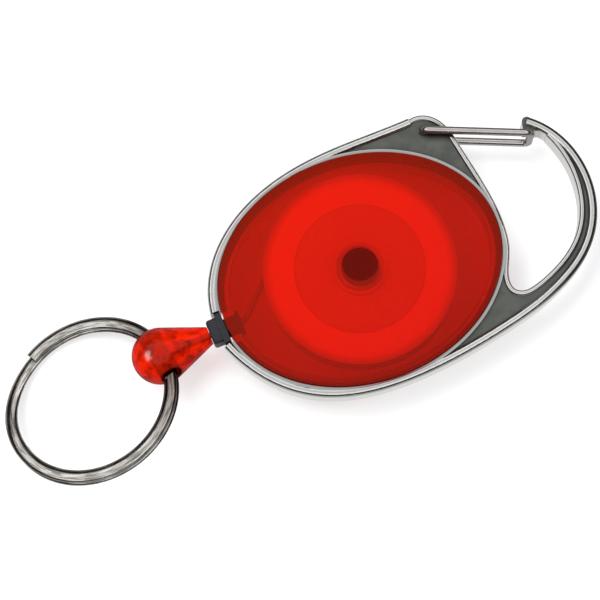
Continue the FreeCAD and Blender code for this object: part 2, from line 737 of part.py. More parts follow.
def make_drum():
    """Flanged spool, open to the front, with a cord hole through the barrel wall."""
    body = make_body("spool_drum")
    section = sketch(body, "drum_section", "XZ_Plane")
    profile(section, [
        ("spool_bore", "spool_bottom"),
        ("spool_radius", "spool_bottom"),
        ("spool_radius", "spool_bottom + flange_thick"),
        ("barrel_outer", "spool_bottom + flange_thick"),
        ("barrel_outer", "spool_top - flange_thick"),
        ("spool_radius", "spool_top - flange_thick"),
        ("spool_radius", "spool_top"),
        ("cap_radius", "spool_top"),
        ("cap_radius", "cap_level"),
        ("barrel_inner", "cap_level"),
        ("barrel_inner", "spool_bottom + flange_thick"),
        ("spool_bore", "spool_bottom + flange_thick"),
    ])
    turn(body, section, "drum_turning")
    doc.recompute()
    hole = sketch(body, "anchor_hole_outline", "XZ_Plane")
    # the plane's normal is -y, at 270 degrees; turn it to the anchor angle
    swing = Rotation(V(0, 1, 0), size("anchor_angle") - 270.0)
    hole.AttachmentOffset = Placement(V(0, 0, 0), swing)
    circle(hole, "anchor_hole", at=(0.0, size("anchor_level")))
    doc.recompute()
    pocket(body, hole, "anchor_hole_cut", "anchor_cut", along_normal=True)
    return body


def make_spool_cap():
    return make_disc("spool_cap", "cap_level", "cap_radius - cap_gap", "spool_bore",
                     "spool_top - cap_level")


# ------------------------------------------------------------ mainspring and cord
STEPS_PER_TURN = 16  # curve points in each turn of spring or cord
COIL_TURNS = 7.85
LAY_TURNS = 3        # turns in each of the two full lays
LAY_BLEND = 0.12     # turns before and after a change of lay in which the radius grows


def make_mainspring():
    """Flat strip coiled between arbor and barrel, with a tang in the arbor slot."""
    turns = size("spring_turns")
    half = size("spring_thick") / 2
    height = value("spring_to - spring_from")
    inner, outer = size("spring_inner"), size("spring_outer")
    steps = int(turns * STEPS_PER_TURN)

    def spiral(offset):
        return through([polar(inner + offset + (outer - inner) * k / steps,
                              2 * math.pi * turns * k / steps) for k in range(steps + 1)])

    low, high = spiral(-half), spiral(half)
    outline = Part.Wire([low.toShape(), Part.makeLine(low.EndPoint, high.EndPoint),
                         high.toShape(), Part.makeLine(high.StartPoint, low.StartPoint)])
    strip = Part.Face(outline).extrude(V(0, 0, height))
    start = size("tang_from")
    tang = Part.makeBox(inner + half - start, 2 * half, height, V(start, -2 * half, 0))
    return add_shape("mainspring", strip.fuse(tang).removeSplitter(),
                     Placement(V(0, 0, size("spring_from")), Rotation()))


def make_cord_coil():
    """Cord winding: three lays, each over the one before, ending at LEAVE."""
    one, two, three = size("lay_one"), size("lay_two"), size("lay_three")
    low, high = size("lay_low"), size("lay_high")
    second, third = LAY_TURNS, 2 * LAY_TURNS  # turns at which these lays begin
    begin = LEAVE - COIL_TURNS * 2 * math.pi
    steps = int(COIL_TURNS * STEPS_PER_TURN)
    points = []
    for k in range(steps + 1):
        turns = k / steps * COIL_TURNS
        if turns <= second:
            radius = one
            z = low + (high - low) * turns / LAY_TURNS
        elif turns <= third:
            radius = two
            z = high - (high - low) * (turns - second) / LAY_TURNS
        else:
            radius = three
            z = low + (MID.z - low) * (turns - third) / (COIL_TURNS - third)
        for change, before, after in ((second, one, two), (third, two, three)):
            if abs(turns - change) < LAY_BLEND:
                share = (turns - change + LAY_BLEND) / (2 * LAY_BLEND)
                radius = before + (after - before) * smooth(share)
        points.append(polar(radius, begin + turns * 2 * math.pi, z))
    edge = through(points).toShape()
    first = edge.FirstParameter
    section = Part.makeCircle(size("cord_radius"), edge.valueAt(first), edge.tangentAt(first))
    return add_shape("cord_coil", sweep(edge, Part.Wire([section])))


def make_anchor_knot():
    knot = primitive("Sphere", "cord_anchor_knot", Radius="anchor_knot")
    centre = polar(size("anchor_knot_at"), ANCHOR, size("anchor_level"))
    knot.Placement = Placement(centre, Rotation())
    return knot


def make_cord_lead():
    """Cord from the winding round the guide bend, then along the pull line to the knot."""
    body = make_body("cord_lead")
    path = sketch(body, "lead_path", "XY_Plane", "mid_level")
    tangent_point = polar(size("lay_three"), LEAVE)
    heading = (GUIDE - tangent_point).normalize()
    start = tangent_point + heading * size("lead_start_gap")
    bend = size("guide_bend")
    setback = bend * math.tan(math.acos(heading.dot(OUT_DIR)) / 2)
    bend_from = GUIDE - heading * setback
    bend_to = GUIDE + OUT_DIR * setback
    # the bend turns clockwise, so its centre is to the right of the heading
    centre = bend_from + V(heading.y, -heading.x, 0) * bend
    bend_mid = centre + (GUIDE - centre).normalize() * bend
    end = OUTLET + OUT_DIR * value("ball_reach - knot_at - knot_radius - lead_end_gap")
    path.addGeometry(Part.LineSegment(start, bend_from), False)
    path.addGeometry(Part.Arc(bend_from, bend_mid, bend_to), False)
    path.addGeometry(Part.LineSegment(bend_to, end), False)
    doc.recompute()
    section = start_section(body, "lead_section", path)
    circle(section, "cord_radius")
    doc.recompute()
    pipe(body, section, path, "lead_run", upright=False)
    return body


def make_stop_knot():
    """Two crossed loops on a ball, inside the ring holder."""
    centre = BALL + IN_DIR * size("knot_at")
    solids = []
    for name, axis, angle in (("knot_loop_a", V(0, 1, 0), 65), ("knot_loop_b", V(1, 0, 0), 80)):
        loop = primitive("Torus", name, Radius1="knot_radius - cord_radius - knot_loop_gap",
                         Radius2="cord_radius")
        loop.Placement = Placement(centre, HOLDER_ROTATION.multiply(Rotation(axis, angle)))
        solids.append(loop)
    core = primitive("Sphere", "knot_core", Radius="knot_core")
    core.Placement = Placement(centre, Rotation())
    return fuse("cord_stop_knot", *solids, core)


# ------------------------------------------------------------ ring holder
ARC_POINT_ANGLE = 0.6  # radians; a point the ball arc passes through


def make_holder():
    """Ball running into a cone along the holder's +x, with an eye across the ball."""
    body = make_body("ring_holder")
    apex, radius, nose = size("cone_apex"), size("ball_radius"), size("nose_at")
    cone_half = math.asin(radius / apex)
    nose_radius = (apex - nose) * math.tan(cone_half)
    touch = (radius * math.sin(cone_half), radius * math.cos(cone_half))
    section = sketch(body, "holder_section", "XZ_Plane")
    add_lines(section, [(-radius, 0), (nose, 0), (nose, nose_radius), touch])
    arc_point = V(-radius * math.sin(ARC_POINT_ANGLE), radius * math.cos(ARC_POINT_ANGLE), 0)
    section.addGeometry(Part.Arc(V(*touch, 0), arc_point, V(-radius, 0, 0)), False)
    turn(body, section, "holder_turning", axis="H_Axis")
    doc.recompute()

    eye = sketch(body, "eye_outline", "XY_Plane")
    circle(eye, "eye_radius")
    eye.AttachmentOffset = Placement(V(0, 0, 0), Rotation(V(0, 1, 0), EYE_LEAN))
    pocket(body, eye, "eye")
    bore = sketch(body, "holder_bore_outline", "YZ_Plane")
    circle(bore, "holder_bore")
    pocket(body, bore, "holder_bore_cut", "holder_bore_depth", along_normal=True)

    # way for the knot, ending in a dome
    way = sketch(body, "knot_way_outline", "YZ_Plane")
    circle(way, "knot_pocket")
    pocket(body, way, "knot_way", "knot_at", along_normal=True)
    dome_section = sketch(body, "knot_dome_section", "XZ_Plane")
    knot_x, way_radius = size("knot_at"), size("knot_pocket")
    back_x = knot_x - size("dome_overlap")
    add_lines(dome_section, [(back_x, 0), (knot_x + way_radius, 0)])
    add_arc(dome_section, (knot_x, 0), way_radius, 0, math.pi / 2)
    add_lines(dome_section, [(knot_x, way_radius), (back_x, way_radius), (back_x, 0)])
    knot_dome = turn(body, dome_section, "knot_dome", axis="H_Axis", cut=True)
    doc.recompute()

    # the two mouths of the eye, on the upper and lower sides of the ball
    def mouth(box):
        outside = box.ZMin > 3.0 or box.ZMax < -3.0
        return outside and box.XLength > 2.5 and box.YLength > 2.5 and box.XMax < 3.0

    dress_edges(body, "Chamfer", "eye_mouths", knot_dome, mouth, "Size", "eye_flare")
    body.Placement = Placement(BALL, HOLDER_ROTATION)
    return body


# ------------------------------------------------------------ split ring
RING_STEPS = 96
RING_END_GAP = 0.10  # turns left out at each wire end
JOGGLE_HALF = 0.09   # turns before and after one full turn in which the wire climbs
RING_TURN = 5.72     # radians from the ball-to-ring direction to the ring's local x


def ring_level(turns):
    """Height of the wire centre: lower lay, joggle around one turn, upper lay."""
    level = value("ring_strand_tall + ring_strand_gap") / 2
    share = (turns - (1 - JOGGLE_HALF)) / (2 * JOGGLE_HALF)
    return -level + 2 * level * smooth(min(1.0, max(0.0, share)))


def make_split_ring():
    """Oval wire wound two turns, with the joggle between them."""
    mean = size("ring_mean")
    points = []
    for k in range(RING_STEPS + 1):
        turns = RING_END_GAP + (2 - 2 * RING_END_GAP) * k / RING_STEPS
        points.append(polar(mean, 2 * math.pi * turns, ring_level(turns)))
    start = points[0]
    outward = V(start.x, start.y, 0).normalize()
    oval = Part.Ellipse(start + outward * (size("ring_strand_wide") / 2),
                        start + V(0, 0, size("ring_strand_tall") / 2), start)
    solid = sweep(through(points).toShape(), Part.Wire([oval.toShape()]))
    ring_x = (RING_TO * math.cos(RING_TURN)
              + RING_NORMAL.cross(RING_TO) * math.sin(RING_TURN)).normalize()
    pose = rotation_to(ring_x, RING_NORMAL.cross(ring_x), RING_NORMAL)
    return add_shape("split_ring", solid, Placement(RING_CENTRE, pose))


# ------------------------------------------------------------ build, check and export
pieces = [
    make_frame(), make_gate(), make_front_cover(), make_rear_cover(), make_grommet(),
    make_arbor(), make_screw(), make_plug(), make_washer("rear"), make_washer("front"),
    make_drum(), make_spool_cap(), make_mainspring(), make_cord_coil(), make_anchor_knot(),
    make_cord_lead(), make_stop_knot(), make_holder(), make_split_ring(),
]
doc.recompute()

faults = [(obj.Name, obj.State) for obj in doc.Objects
          if "Invalid" in obj.State or "Error" in obj.State]
faults += [(piece.Name, "shape null or not valid") for piece in pieces
           if piece.Shape.isNull() or not piece.Shape.isValid()]
if faults:
    raise RuntimeError("not clean: %s" % faults)
for piece in pieces:
    piece.Shape.exportStep("parts/%s.step" % piece.Label)
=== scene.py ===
import bpy
import json
import math
import numpy as np
from mathutils import Matrix, Vector

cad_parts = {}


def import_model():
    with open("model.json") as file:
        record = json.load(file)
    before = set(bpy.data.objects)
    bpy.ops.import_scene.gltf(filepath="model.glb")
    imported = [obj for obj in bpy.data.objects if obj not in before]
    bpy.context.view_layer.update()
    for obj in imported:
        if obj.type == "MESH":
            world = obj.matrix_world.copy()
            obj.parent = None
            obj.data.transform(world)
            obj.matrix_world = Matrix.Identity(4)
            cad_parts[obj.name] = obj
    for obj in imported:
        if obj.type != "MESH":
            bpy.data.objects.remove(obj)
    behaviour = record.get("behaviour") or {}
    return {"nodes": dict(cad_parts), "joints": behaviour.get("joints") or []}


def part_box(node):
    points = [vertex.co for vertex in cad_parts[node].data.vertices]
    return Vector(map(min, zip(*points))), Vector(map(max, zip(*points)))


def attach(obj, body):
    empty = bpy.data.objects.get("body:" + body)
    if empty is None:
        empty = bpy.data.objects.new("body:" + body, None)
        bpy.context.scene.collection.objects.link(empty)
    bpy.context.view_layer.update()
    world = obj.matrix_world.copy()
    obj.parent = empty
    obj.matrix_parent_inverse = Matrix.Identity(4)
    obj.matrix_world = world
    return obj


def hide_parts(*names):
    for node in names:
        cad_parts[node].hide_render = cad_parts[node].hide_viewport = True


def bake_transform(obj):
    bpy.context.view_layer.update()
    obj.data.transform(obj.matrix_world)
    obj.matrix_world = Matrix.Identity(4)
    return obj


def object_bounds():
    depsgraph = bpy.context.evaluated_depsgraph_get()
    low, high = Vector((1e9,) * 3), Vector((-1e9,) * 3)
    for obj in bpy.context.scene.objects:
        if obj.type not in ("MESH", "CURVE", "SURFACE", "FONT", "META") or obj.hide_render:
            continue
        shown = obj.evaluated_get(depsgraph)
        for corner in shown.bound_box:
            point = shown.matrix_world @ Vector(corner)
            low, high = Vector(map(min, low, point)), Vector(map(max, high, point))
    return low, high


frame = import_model()
cad_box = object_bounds()
nodes = frame["nodes"]
scene = bpy.context.scene
MM = 0.001


# ---------------------------------------------------------------- node helpers
class Mat:
    def __init__(self, name):
        self.m = bpy.data.materials.new(name)
        self.m.use_nodes = True
        self.t = self.m.node_tree
        self.t.nodes.clear()
        self.out = self.t.nodes.new("ShaderNodeOutputMaterial")

    def n(self, kind, ins=None, **props):
        node = self.t.nodes.new("ShaderNode" + kind)
        for k, v in props.items():
            setattr(node, k, v)
        for k, v in (ins or {}).items():
            self.put(node.inputs[k], v)
        return node

    def put(self, socket, v):
        if isinstance(v, bpy.types.NodeSocket):
            self.t.links.new(v, socket)
        elif isinstance(v, bpy.types.Node):
            self.t.links.new(v.outputs[0], socket)
        elif isinstance(v, (tuple, list)) and len(v) == 3 and socket.type == "RGBA":
            socket.default_value = (*v, 1.0)
        else:
            socket.default_value = v

    def math(self, op, a, b=0.0, c=0.0, clamp=False):
        node = self.n("Math", operation=op, use_clamp=clamp)
        for i, v in enumerate((a, b, c)):
            if i < len(node.inputs):
                self.put(node.inputs[i], v)
        return node.outputs[0]

    def mix(self, fac, a, b, blend="MIX"):
        node = self.n("Mix", data_type="RGBA", blend_type=blend)
        self.put(node.inputs["Factor"], fac)
        self.put(node.inputs[6], a)
        self.put(node.inputs[7], b)
        return node.outputs[2]

    def mixf(self, fac, a, b):
        node = self.n("Mix", data_type="FLOAT")
        self.put(node.inputs["Factor"], fac)
        self.put(node.inputs[2], a)
        self.put(node.inputs[3], b)
        return node.outputs[0]

    def shade(self, fac, a, b):
        node = self.n("MixShader")
        for i, v in enumerate((fac, a, b)):
            self.put(node.inputs[i], v)
        return node.outputs[0]

    def add(self, a, b):
        node = self.n("AddShader")
        self.put(node.inputs[0], a)
        self.put(node.inputs[1], b)
        return node.outputs[0]

    def local(self):
        return self.n("TexCoord").outputs["Object"]

    def noise(self, scale, vec=None, detail=3.0, rough=0.55):
        return self.n("TexNoise", {"Vector": vec or self.local(), "Scale": scale, "Detail": detail, "Roughness": rough}).outputs[0]

    def ramp(self, fac, *stops):
        node = self.n("ValToRGB", {"Fac": fac})
        cr = node.color_ramp
        cr.elements[0].position, cr.elements[1].position = stops[0][0], stops[-1][0]
        for pos, _ in stops[1:-1]:
            cr.elements.new(pos)
        for el, (pos, col) in zip(sorted(cr.elements, key=lambda e: e.position), stops):
            el.color = (*col, 1.0) if isinstance(col, tuple) else (col, col, col, 1.0)
        return node.outputs[0]

    def bump(self, height, strength, distance, base=None):
        node = self.n("Bump", {"Height": height, "Strength": strength, "Distance": distance})
        if base is not None:
            self.put(node.inputs["Normal"], base)
        return node.outputs[0]

    def painted_crease_shade(self, reach, low):
        # painted shade: 1 in the open, down to low in a crease narrower than reach
        ao = self.n("AmbientOcclusion", {"Distance": reach}, samples=6)
        return self.mixf(self.math("POWER", ao.outputs["AO"], 1.4), low, 1.0)

    def painted_edge_shade(self, start, end, low):
        # painted reflection: 1 where the surface faces the eye, down to low where it turns away, standing in for the
        # dark surroundings a polished edge mirrors
        facing = self.n("LayerWeight", {"Blend": 0.5}).outputs["Facing"]
        return self.n("MapRange", {"Value": facing, "From Min": start, "From Max": end, "To Min": 1.0, "To Max": low}).outputs[0]

    def grey(self, v):
        return self.n("CombineColor", {0: v, 1: v, 2: v}).outputs[0]

    def done(self, shader):
        self.put(self.out.inputs["Surface"], shader)
        return self.m


def paint(node, material):
    o = nodes[node]
    o.data.materials.clear()
    o.data.materials.append(material)


# ---------------------------------------------------------------- metals
def chrome():
    m = Mat("frame_chrome")
    loc = m.local()
    z = m.n("SeparateXYZ", {"Vector": loc}).outputs[2]
    nz = m.n("SeparateXYZ", {"Vector": m.n("NewGeometry").outputs["Normal"]}).outputs[2]
    level = m.math("COMPARE", z, 8.35 * MM, 0.09 * MM)
    flat = m.math("MULTIPLY", level, m.math("GREATER_THAN", nz, 0.9))
    under = m.math("MULTIPLY", m.math("COMPARE", z, 4.65 * MM, 0.09 * MM), m.math("LESS_THAN", nz, -0.9))
    web = m.math("MAXIMUM", flat, under)
    cloud = m.noise(380.0, loc, 4.0)
    grain = m.noise(5200.0, loc, 2.0)
    peel = m.noise(900.0, loc, 1.0)
    polished = m.mix(cloud, (0.70, 0.70, 0.69), (0.82, 0.82, 0.81))
    satin = m.mix(m.ramp(cloud, (0.35, 0.0), (0.65, 1.0)), (0.135, 0.142, 0.130), (0.185, 0.192, 0.178))
    rough = m.mixf(web, m.mixf(cloud, 0.045, 0.09), m.mixf(grain, 0.30, 0.40))
    normal = m.bump(grain, m.mixf(web, 0.02, 0.22), 0.00004, m.bump(peel, 0.05, 0.00006))
    # painted shade: the base colour darkens in the creases between the parts of the frame
    shade = m.painted_crease_shade(1.5 * MM, 0.10)
    # painted reflection: the flanks that face out of the hook are darkened in the base colour, standing in for the dark
    # room the polish mirrors
    away = m.n("VectorMath", {0: loc, 1: (14.0 * MM, 0.0, 8.0 * MM)}, operation="SUBTRACT").outputs[0]
    away = m.n("VectorMath", {0: away, 1: (1.0, 1.0, 0.0)}, operation="MULTIPLY").outputs[0]
    away = m.n("VectorMath", {0: away}, operation="NORMALIZE").outputs[0]
    out = m.n("VectorMath", {0: away, 1: m.n("NewGeometry").outputs["Normal"]}, operation="DOT_PRODUCT").outputs["Value"]
    x = m.n("SeparateXYZ", {"Vector": loc}).outputs[0]
    painted_flank_reflection = m.math("MULTIPLY", m.ramp(out, (0.08, 0.0), (0.34, 1.0)), m.ramp(nz, (0.10, 0.0), (0.30, 1.0)))
    painted_flank_reflection = m.math("MULTIPLY", painted_flank_reflection, m.ramp(m.math("MULTIPLY", x, 20.0), (0.44, 0.0), (0.58, 1.0)))
    shade = m.math("MULTIPLY", shade, m.math("SUBTRACT", 1.0, m.math("MULTIPLY", painted_flank_reflection, 0.80)))
    colour = m.mix(1.0, m.mix(web, polished, satin), m.grey(shade), "MULTIPLY")
    b = m.n("BsdfPrincipled", {"Base Color": colour, "Metallic": 1.0, "Roughness": rough, "Normal": normal})
    return m.done(b)


def drawn_wire():
    m = Mat("gate_steel")
    loc = m.local()
    a = math.radians(22.8)
    mp = m.n("Mapping", {"Vector": loc, "Rotation": (0.0, 0.0, a), "Scale": (260.0, 7000.0, 7000.0)})
    draw = m.noise(1.0, mp.outputs[0], 2.0)
    tone = m.noise(420.0, loc, 3.0)
    col = m.mix(tone, (0.52, 0.48, 0.47), (0.72, 0.69, 0.68))
    # painted reflection: the base colour darkens where the wire turns away from the eye
    col = m.mix(1.0, col, m.grey(m.painted_edge_shade(0.30, 0.80, 0.35)), "MULTIPLY")
    b = m.n("BsdfPrincipled", {"Base Color": col, "Metallic": 1.0, "Roughness": m.mixf(draw, 0.13, 0.26),
                               "Normal": m.bump(draw, 0.12, 0.00003)})
    return m.done(b)


def nickel():
    m = Mat("ring_nickel")
    loc = m.local()
    centre = (-45.06 * MM, -4.00 * MM, 5.84 * MM)
    rel = m.n("VectorMath", {0: loc, 1: centre}, operation="SUBTRACT").outputs[0]
    r = m.n("VectorMath", {0: rel}, operation="LENGTH").outputs["Value"]
    s = m.n("SeparateXYZ", {"Vector": rel})
    ang = m.math("ARCTAN2", s.outputs[1], s.outputs[0])
    polar = m.n("CombineXYZ", {"X": m.math("MULTIPLY", r, 5200.0), "Y": m.math("MULTIPLY", m.math("SINE", ang), 5.0),
                               "Z": m.math("MULTIPLY", m.math("COSINE", ang), 5.0)})
    streak = m.noise(1.0, polar.outputs[0], 4.0)
    tone = m.noise(330.0, loc, 3.0)
    col = m.mix(tone, (0.62, 0.59, 0.56), (0.88, 0.86, 0.84))
    col = m.mix(m.ramp(streak, (0.42, 0.0), (0.56, 1.0)), m.mix(1.0, col, (0.40, 0.38, 0.36), "MULTIPLY"), col)
    # painted shade: duller and browner on the side towards the holder
    turned = m.n("MapRange", {"Value": m.math("DIVIDE", s.outputs[0], r), "From Min": 0.45, "From Max": 0.97}).outputs[0]
    col = m.mix(1.0, col, m.mix(turned, (1.0, 1.0, 1.0), (0.34, 0.29, 0.27)), "MULTIPLY")
    # painted shade and reflection: the base colour darkens in creases and where the wire turns away from the eye
    shade = m.math("MULTIPLY", m.painted_crease_shade(1.2 * MM, 0.12), m.painted_edge_shade(0.20, 0.62, 0.45))
    col = m.mix(1.0, col, m.grey(shade), "MULTIPLY")
    b = m.n("BsdfPrincipled", {"Base Color": col, "Metallic": 1.0, "Roughness": m.mixf(streak, 0.10, 0.18),
                               "Normal": m.bump(streak, 0.30, 0.00005)})
    return m.done(b)


def plain_steel(name, dark, light, rough):
    m = Mat(name)
    loc = m.local()
    t = m.noise(1500.0, loc, 3.0)
    s = m.n("SeparateXYZ", {"Vector": loc})
    rad = m.math("SQRT", m.math("ADD", m.math("MULTIPLY", s.outputs[0], s.outputs[0]), m.math("MULTIPLY", s.outputs[1], s.outputs[1])))
    turned = m.math("SINE", m.math("MULTIPLY", rad, 42000.0))
    b = m.n("BsdfPrincipled", {"Base Color": m.mix(t, dark, light), "Metallic": 1.0, "Roughness": m.mixf(t, rough, rough + 0.12),
                               "Normal": m.bump(turned, 0.05, 0.00002)})
    return m.done(b)


# ---------------------------------------------------------------- plastics
def tinted(name, clear, body, share, rough, mottle=0.0, frost=2600.0, shine=1.0, window=0.0, painted_eye_shade=None, grazing=(0.62, 0.35, 0.35), edge=0.35, painted_outline_shade=None, painted_shade_drift=None):
    # a thin coloured wall: light crosses it tinted, and part of it scatters in the wall
    m = Mat(name)
    loc = m.local()
    back = m.n("NewGeometry").outputs["Backfacing"]
    fine = m.noise(frost, loc, 2.0)
    flow = m.noise(160.0, loc, 3.0)
    normal = m.bump(fine, 0.10, 0.00003)
    facing = m.n("LayerWeight", {"Blend": edge}).outputs["Facing"]
    deep = tuple(c * k for c, k in zip(clear, grazing))
    colour = m.mix(facing, clear, deep)
    scatter = m.mix(flow, tuple(c * 0.86 for c in body), body)
    if mottle:
        spots = m.ramp(m.noise(620.0, loc, 3.0, 0.6), (0.46, 1.0), (0.66, 1.0 - mottle))
        colour = m.mix(1.0, colour, spots, "MULTIPLY")
        scatter = m.mix(1.0, scatter, spots, "MULTIPLY")
    xyz = m.n("SeparateXYZ", {"Vector": loc})
    if window:
        rad = m.math("SQRT", m.math("ADD", m.math("MULTIPLY", xyz.outputs[0], xyz.outputs[0]), m.math("MULTIPLY", xyz.outputs[1], xyz.outputs[1])))
        share = m.math("MULTIPLY", m.n("MapRange", {"Value": rad, "From Min": window * 0.92, "From Max": window * 1.06, "To Min": 0.30, "To Max": 1.0}).outputs[0], share)
    if painted_outline_shade:
        # painted shade: a dark outline where the surface turns away from the eye
        painted_rim_shade = m.grey(m.painted_edge_shade(0.62, 0.95, painted_outline_shade))
        colour = m.mix(1.0, colour, painted_rim_shade, "MULTIPLY")
        scatter = m.mix(1.0, scatter, painted_rim_shade, "MULTIPLY")
    if painted_shade_drift:
        # painted shade: the red runs from a clean orange red on the upper left to a deeper, cooler red on the lower
        # right, the side away from the light
        lean = m.n("VectorMath", {0: loc, 1: (0.42, -0.91, 0.0)}, operation="DOT_PRODUCT").outputs["Value"]
        along = m.n("MapRange", {"Value": m.math("ADD", lean, m.math("MULTIPLY", m.math("SUBTRACT", flow, 0.5), 0.020)), "From Min": -16.0 * MM, "From Max": 16.0 * MM}).outputs[0]
        tint = m.mix(along, *painted_shade_drift)
        colour = m.mix(1.0, colour, tint, "MULTIPLY")
        scatter = m.mix(1.0, scatter, tint, "MULTIPLY")
    if painted_eye_shade:
        # painted shade: colour and scatter darken towards the eye's axis, inside the hollow where the ring enters
        point, axis, reach = painted_eye_shade
        rel = m.n("VectorMath", {0: loc, 1: point}, operation="SUBTRACT").outputs[0]
        away = m.n("VectorMath", {0: m.n("VectorMath", {0: rel, 1: axis}, operation="CROSS_PRODUCT").outputs[0]}, operation="LENGTH").outputs["Value"]
        dark = m.n("MapRange", {"Value": away, "From Min": reach, "From Max": reach * 1.22, "To Min": 0.08, "To Max": 1.0}).outputs[0]
        tone = m.n("CombineColor", {0: dark, 1: dark, 2: dark}).outputs[0]
        colour = m.mix(1.0, colour, tone, "MULTIPLY")
        scatter = m.mix(1.0, scatter, tone, "MULTIPLY")
    through = m.n("BsdfTransparent", {"Color": colour})
    inside = m.shade(0.45, m.n("BsdfDiffuse", {"Color": scatter, "Normal": normal}), m.n("BsdfTranslucent", {"Color": scatter, "Normal": normal}))
    wall = m.shade(m.math("MULTIPLY", share, m.math("SUBTRACT", 1.0, back)), through, inside)
    gloss = m.n("BsdfGlossy", {"Color": (1.0, 1.0, 1.0), "Roughness": m.mixf(fine, rough, rough + 0.08), "Normal": normal})
    fres = m.n("Fresnel", {"IOR": 1.49, "Normal": normal})
    return m.done(m.shade(m.math("MULTIPLY", m.math("MULTIPLY", fres.outputs[0], shine), m.math("SUBTRACT", 1.0, back)), wall, gloss))


def moulded(name, dark, light, rough, scale=900.0, bump=0.12, painted_rim_shade=None):
    m = Mat(name)
    loc = m.local()
    t = m.noise(scale, loc, 3.0)
    f = m.noise(scale * 5.0, loc, 2.0)
    col = m.mix(t, dark, light)
    if painted_rim_shade:
        # painted shade: darker towards the outer edge, softening it as the frosted cover in front would
        s = m.n("SeparateXYZ", {"Vector": loc})
        rad = m.math("SQRT", m.math("ADD", m.math("MULTIPLY", s.outputs[0], s.outputs[0]), m.math("MULTIPLY", s.outputs[1], s.outputs[1])))
        k = m.n("MapRange", {"Value": rad, "From Min": painted_rim_shade[0], "From Max": painted_rim_shade[1], "To Min": 1.0, "To Max": painted_rim_shade[2]}, interpolation_type="SMOOTHSTEP").outputs[0]
        col = m.mix(1.0, col, m.n("CombineColor", {0: k, 1: k, 2: k}), "MULTIPLY")
    b = m.n("BsdfPrincipled", {"Base Color": col, "Roughness": m.mixf(f, rough, rough + 0.12),
                               "Normal": m.bump(f, bump, 0.00003), "IOR": 1.49})
    return m.done(b)


def braid():
    # woven nylon cord, the weave laid along the pull line so that it keeps its scale when the cord is out
    m = Mat("cord_nylon")
    pos = m.n("NewGeometry").outputs["Position"]
    s = m.n("SeparateXYZ", {"Vector": pos})
    u, v = m.math("MULTIPLY", s.outputs[0], 5200.0), m.math("MULTIPLY", m.math("ADD", s.outputs[1], s.outputs[2]), 5200.0)
    w = m.math("MULTIPLY", m.math("SINE", m.math("ADD", u, v)), m.math("SINE", m.math("SUBTRACT", u, v)))
    weave = m.math("MULTIPLY_ADD", w, 0.5, 0.5)
    fuzz = m.noise(9000.0, pos, 2.0)
    b = m.n("BsdfPrincipled", {"Base Color": m.mix(weave, (0.15, 0.145, 0.14), (0.30, 0.29, 0.28)), "Roughness": m.mixf(fuzz, 0.55, 0.80),
                               "Sheen Weight": 0.35, "Normal": m.bump(weave, 0.55, 0.00006)})
    return m.done(b)


eye_joint = [j for j in frame["joints"] if j["name"] == "ring_swing"][0]
eye_at, eye_along = tuple(eye_joint["pos_m"]), tuple(Vector(eye_joint["axis"]).normalized())
cover = tinted("cover_red", (0.92, 0.235, 0.120), (0.68, 0.026, 0.009), 0.34, 0.34, shine=0.14, window=2.75 * MM, painted_shade_drift=((1.0, 1.0, 0.40), (0.98, 0.96, 1.0)))
# painted shade: the rear cover takes a darker copy of the cover's red, standing in for the shade inside the case
rear = tinted("cover_red_rear_shaded", (0.84, 0.085, 0.060), (0.60, 0.005, 0.004), 0.34, 0.34, shine=0.40)
holder = tinted("holder_red", (1.0, 0.125, 0.018), (1.0, 0.026, 0.002), 0.50, 0.13, mottle=0.55, frost=1500.0, shine=0.30, painted_outline_shade=0.30, grazing=(0.72, 0.40, 0.40), edge=0.18, painted_eye_shade=(eye_at, eye_along, 1.62 * MM))
cord = braid()
finish = {
    "carabiner_frame": chrome(),
    "wire_gate": drawn_wire(),
    "split_ring": nickel(),
    "front_cover": cover,
    "rear_cover": rear,
    "rear_plug": moulded("plug_red", (0.30, 0.006, 0.006), (0.42, 0.012, 0.010), 0.35),
    "ring_holder": holder,
    "outlet_grommet": moulded("grommet_black", (0.005, 0.006, 0.008), (0.016, 0.016, 0.020), 0.48, 1400.0, 0.2),
    "spring_arbor": moulded("arbor_dark", (0.035, 0.010, 0.012), (0.060, 0.018, 0.020), 0.40),
    "centre_screw": plain_steel("screw_steel", (0.42, 0.42, 0.43), (0.62, 0.62, 0.62), 0.22),
    "mainspring": plain_steel("spring_steel", (0.20, 0.22, 0.26), (0.36, 0.38, 0.42), 0.20),
    "rear_thrust_washer": moulded("washer_plastic", (0.62, 0.60, 0.55), (0.74, 0.72, 0.66), 0.35),
    "front_thrust_washer": moulded("washer_plastic_front", (0.62, 0.60, 0.55), (0.74, 0.72, 0.66), 0.35),
    "spool_drum": moulded("spool_plastic", (0.78, 0.77, 0.74), (0.86, 0.85, 0.82), 0.45, painted_rim_shade=(13.1 * MM, 14.8 * MM, 0.55)),
    "spool_cap": moulded("cap_plastic", (0.57, 0.555, 0.54), (0.68, 0.66, 0.64), 0.45, painted_rim_shade=(9.3 * MM, 10.1 * MM, 0.90)),
    "cord_coil": cord, "cord_anchor_knot": cord, "cord_stop_knot": cord, "cord_lead": cord,
}
for name, material in finish.items():
    paint(name, material)


